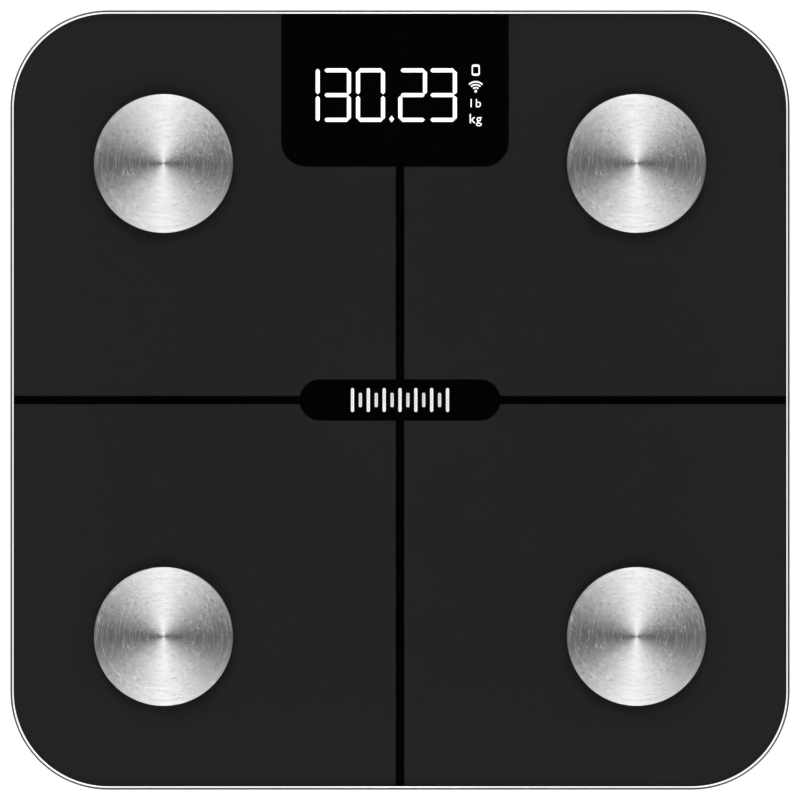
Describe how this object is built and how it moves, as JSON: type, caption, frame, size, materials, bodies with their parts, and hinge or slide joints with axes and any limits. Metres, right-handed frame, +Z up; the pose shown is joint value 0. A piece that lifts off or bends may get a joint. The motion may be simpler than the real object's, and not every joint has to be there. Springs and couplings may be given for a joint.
{
  "type": "digital bathroom scale",
  "caption": "Square glass-topped bathroom scale with round steel electrodes, a lit segment display, short-travel load-cell feet and a battery door underneath.",
  "frame": {"origin": "on the floor under the middle of the square platform", "axes": "+Z up, +Y towards the display, +X to the reader's right"},
  "size_m": [0.28, 0.28, 0.027],
  "materials": {
    "tempered_glass": "clear tempered float glass, polished, with ground edges",
    "black_print": "dark grey printed film with black lines, seen through the glass",
    "foam_tape": "closed-cell foam tape",
    "brushed_steel": "stainless steel with circular brushing",
    "zinc_steel": "zinc-plated steel",
    "plated_steel": "nickel-plated stamped steel",
    "nickel": "nickel-plated spring steel",
    "black_abs": "moulded ABS with a fine spark texture",
    "grey_abs": "moulded ABS, satin",
    "grey_rubber": "soft non-slip rubber",
    "green_board": "glass-fibre circuit board with solder mask",
    "chip_epoxy": "moulded epoxy",
    "white_nylon": "white moulded plastic",
    "smoked_diffuser": "translucent diffusing sheet",
    "battery_jacket": "plain printed sleeve on a steel can",
    "silver_label": "blank silver label",
    "white_wire": "insulated wire",
    "red_wire": "insulated wire",
    "black_wire": "insulated wire",
    "grey_cable": "jacketed three-core cable"
  },
  "bodies": {
    "scale": {"amplifier_chip": "chip_epoxy", "battery_1": "battery_jacket", "battery_2": "battery_jacket", "battery_3": "battery_jacket", "battery_4": "battery_jacket", "battery_lead_negative": "black_wire", "battery_lead_positive": "red_wire", "board_screw_left": "zinc_steel", "board_screw_right": "zinc_steel", "contact_bridge_1": "nickel", "contact_bridge_2": "nickel", "contact_bridge_3": "nickel", "contact_negative": "nickel", "contact_positive": "nickel", "controller_chip": "chip_epoxy", "electrode_front_left": "brushed_steel", "electrode_front_right": "brushed_steel", "electrode_lead_front_left": "white_wire", "electrode_lead_front_right": "white_wire", "electrode_lead_rear_left": "white_wire", "electrode_lead_rear_right": "white_wire", "electrode_nut_front_left": "zinc_steel", "electrode_nut_front_right": "zinc_steel", "electrode_nut_rear_left": "zinc_steel", "electrode_nut_rear_right": "zinc_steel", "electrode_rear_left": "brushed_steel", "electrode_rear_right": "brushed_steel", "foam_tape": "foam_tape", "glass_platform": "tempered_glass", "led_reflector": "white_nylon", "load_cell_cable_front_left": "grey_cable", "load_cell_cable_front_right": "grey_cable", "load_cell_cable_rear_left": "grey_cable", "load_cell_cable_rear_right": "grey_cable", "load_cell_front_left": "plated_steel", "load_cell_front_right": "plated_steel", "load_cell_holder_front_left": "black_abs", "load_cell_holder_front_right": "black_abs", "load_cell_holder_rear_left": "black_abs", "load_cell_holder_rear_right": "black_abs", "load_cell_rear_left": "plated_steel", "load_cell_rear_right": "plated_steel", "main_board": "green_board", "printed_film": "black_print", "radio_module": "plated_steel", "rating_label": "silver_label", "segment_diffuser": "smoked_diffuser", "tray": "black_abs", "unit_switch": "chip_epoxy", "wire_connector": "white_nylon"},
    "foot_front_left": {"foot_cup_front_left": "black_abs", "foot_pad_front_left": "grey_rubber"},
    "foot_front_right": {"foot_cup_front_right": "black_abs", "foot_pad_front_right": "grey_rubber"},
    "foot_rear_left": {"foot_cup_rear_left": "black_abs", "foot_pad_rear_left": "grey_rubber"},
    "foot_rear_right": {"foot_cup_rear_right": "black_abs", "foot_pad_rear_right": "grey_rubber"},
    "battery_door": {"battery_door": "black_abs"},
    "unit_key": {"unit_key": "grey_abs"}
  },
  "joints": [
    {"name": "foot_front_left_travel", "type": "slide", "parent": "scale", "child": "foot_front_left", "axis": [0, 0, 1], "range_m": [0, 0.0005], "stiffness_N_per_m": 1000, "springref_m": -0.006},
    {"name": "foot_front_right_travel", "type": "slide", "parent": "scale", "child": "foot_front_right", "axis": [0, 0, 1], "range_m": [0, 0.0005], "stiffness_N_per_m": 1000, "springref_m": -0.006},
    {"name": "foot_rear_left_travel", "type": "slide", "parent": "scale", "child": "foot_rear_left", "axis": [0, 0, 1], "range_m": [0, 0.0005], "stiffness_N_per_m": 1000, "springref_m": -0.006},
    {"name": "foot_rear_right_travel", "type": "slide", "parent": "scale", "child": "foot_rear_right", "axis": [0, 0, 1], "range_m": [0, 0.0005], "stiffness_N_per_m": 1000, "springref_m": -0.006},
    {"name": "battery_door_hinge", "type": "hinge", "parent": "scale", "child": "battery_door", "pos_m": [0, 0.00065, 0.0051], "axis": [-1, 0, 0], "range_deg": [0, 80]},
    {"name": "unit_key_press", "type": "slide", "parent": "scale", "child": "unit_key", "axis": [0, 0, 1], "range_m": [0, 0.0005], "stiffness_N_per_m": 2500}
  ]
}
